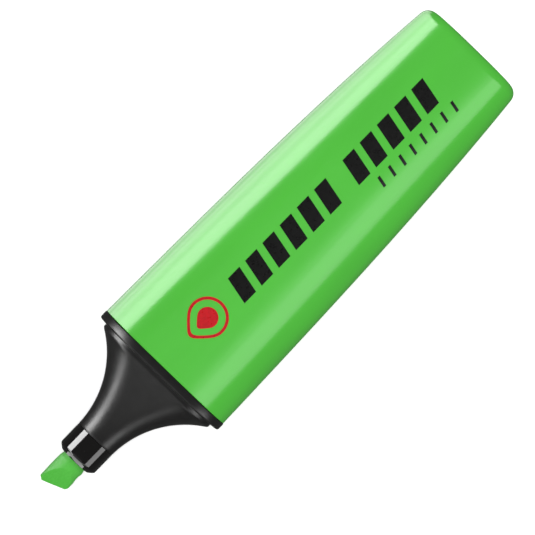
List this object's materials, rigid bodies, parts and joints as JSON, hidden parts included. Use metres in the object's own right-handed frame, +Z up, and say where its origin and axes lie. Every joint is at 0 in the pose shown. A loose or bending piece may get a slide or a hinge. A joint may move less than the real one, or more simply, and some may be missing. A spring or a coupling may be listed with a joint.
{
  "type": "highlighter pen",
  "caption": "Flat wedge-shaped highlighter with a slanted felt nib, a black flared neck and a pull-off cap that lies in front of it.",
  "frame": {"origin": "on the table, under the joint between the black flange and the barrel, which is halfway between the barrel's back end and the parked cap's far end", "axes": "+X along the pen from the nib to the barrel's back end, +Y across the wide face, +Z up, normal to the wide face"},
  "size_m": [0.147, 0.027, 0.017],
  "materials": {
    "green_plastic": "smooth moulded, light satin gloss",
    "black_plastic": "satin moulded",
    "black_gloss": "polished",
    "inked_felt": "pressed polyester fibre, soaked with ink",
    "core_fibre": "fibre bundle soaked with ink",
    "clear_film": "thin film",
    "pale_seal": "soft moulded"
  },
  "bodies": {
    "pen": {"barrel": "green_plastic", "front_section": "black_plastic", "nib_holder": "black_gloss", "chisel_nib": "inked_felt", "ink_reservoir": "core_fibre", "reservoir_film": "clear_film"},
    "cap": {"cap_shell": "green_plastic", "cap_seal_sleeve": "pale_seal"}
  },
  "joints": [
    {"name": "cap_slide", "type": "slide", "parent": "pen", "child": "cap", "axis": [1, 0, 0], "range_m": [0, 0.042]}
  ]
}
